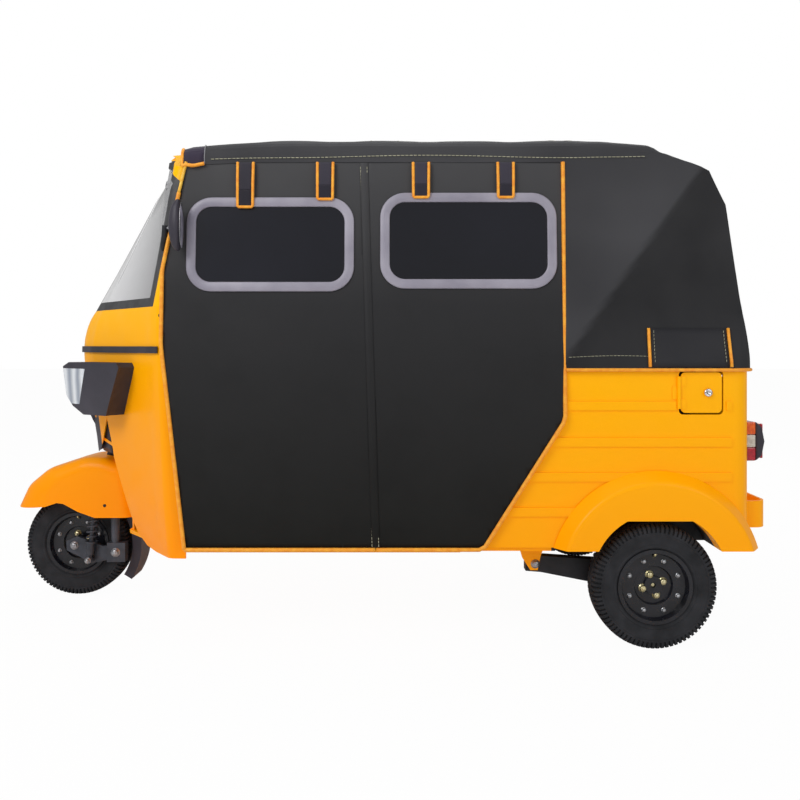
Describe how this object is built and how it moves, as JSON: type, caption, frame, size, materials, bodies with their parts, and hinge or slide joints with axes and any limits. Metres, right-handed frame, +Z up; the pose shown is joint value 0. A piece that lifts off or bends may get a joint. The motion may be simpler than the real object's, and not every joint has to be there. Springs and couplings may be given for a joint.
{
  "type": "auto rickshaw",
  "caption": "Three-wheeled passenger rickshaw with a steered front wheel, enclosed cab, canvas hood, zipped side curtains with windows and a rear engine bay.",
  "frame": {"origin": "on the ground below the middle of the vehicle's length and width", "axes": "+Z up, -X forward along the length, -Y to the vehicle's left"},
  "size_m": [2.66, 1.318, 1.7],
  "materials": {
    "body_paint": "gloss yellow-orange enamel",
    "black_plastic": "satin moulded plastic",
    "rubber_black": "matt rubber",
    "tyre": "matt tread rubber",
    "rim_paint": "gloss black enamel",
    "chassis_paint": "satin black enamel",
    "hood_cloth": "coated canvas",
    "curtain_cloth": "coated canvas with orange piping",
    "strap_cloth": "coated canvas with orange piping",
    "seat_cover": "black seat cover",
    "window_ring": "silver-grey welded vinyl",
    "clear_pane": "dark flexible pane",
    "windscreen_glass": "clear laminated glass",
    "lens": "clear lens",
    "lamp_lens": "red, clear and amber lens",
    "tube_steel": "black painted tube",
    "engine_metal": "cast aluminium",
    "mirror_shell": "satin moulded plastic"
  },
  "bodies": {
    "root": {"bench_backrest": "seat_cover", "bench_cushion": "seat_cover", "cowl_moulding": "rubber_black", "door_posts": "tube_steel", "drive_shafts": "chassis_paint", "driver_backrest": "seat_cover", "driver_cushion": "seat_cover", "driver_seat_box": "chassis_paint", "engine_block": "engine_metal", "engine_deck": "chassis_paint", "exhaust": "chassis_paint", "floor_pan": "body_paint", "front_cowl": "body_paint", "front_curtains": "curtain_cloth", "headlamp_housings": "black_plastic", "headlamp_lenses": "lens", "hood_canvas": "hood_cloth", "inner_arches": "chassis_paint", "instrument_panel": "black_plastic", "mirrors": "mirror_shell", "nose_mask": "black_plastic", "rear_bumper": "body_paint", "rear_curtains": "curtain_cloth", "rear_dampers": "chassis_paint", "rear_fenders": "body_paint", "rear_panel": "body_paint", "roll_straps": "strap_cloth", "roof_frame": "tube_steel", "screen_frame": "body_paint", "side_panel_left": "body_paint", "side_panel_right": "body_paint", "tail_lamps": "lamp_lens", "trailing_arms": "chassis_paint", "wheel_well": "chassis_paint", "window_panes": "clear_pane", "window_rings": "window_ring", "windscreen": "windscreen_glass", "windscreen_gasket": "rubber_black"},
    "steering": {"steering_column": "tube_steel", "handlebar_grips": "rubber_black", "fork_leg": "chassis_paint", "front_link": "chassis_paint", "front_damper": "chassis_paint", "front_mudguard": "body_paint", "splash_guard": "black_plastic"},
    "front_wheel": {"front_tyre": "tyre", "front_rim": "rim_paint"},
    "rear_left_wheel": {"rear_left_tyre": "tyre", "rear_left_rim": "rim_paint"},
    "rear_right_wheel": {"rear_right_tyre": "tyre", "rear_right_rim": "rim_paint"},
    "engine_lid": {"engine_lid": "body_paint"},
    "access_flap": {"access_flap": "body_paint"}
  },
  "joints": [
    {"name": "steering_turn", "type": "hinge", "parent": "root", "child": "steering", "pos_m": [-1.177, 0, 0], "axis": [0.342, 0, 0.9397], "range_deg": [-35, 35]},
    {"name": "front_wheel_spin", "type": "hinge", "parent": "steering", "child": "front_wheel", "pos_m": [-1.098, 0, 0.198], "axis": [0, 1, 0], "continuous": true},
    {"name": "rear_left_wheel_spin", "type": "hinge", "parent": "root", "child": "rear_left_wheel", "pos_m": [0.942, -0.573, 0.198], "axis": [0, 1, 0], "continuous": true},
    {"name": "rear_right_wheel_spin", "type": "hinge", "parent": "root", "child": "rear_right_wheel", "pos_m": [0.942, 0.573, 0.198], "axis": [0, 1, 0], "continuous": true},
    {"name": "engine_lid_hinge", "type": "hinge", "parent": "root", "child": "engine_lid", "pos_m": [1.265, 0, 0.852], "axis": [0, -1, 0], "range_deg": [0, 75]},
    {"name": "access_flap_hinge", "type": "hinge", "parent": "root", "child": "access_flap", "pos_m": [1.021, -0.604, 0.809], "axis": [0, 0, -1], "range_deg": [0, 95]}
  ]
}
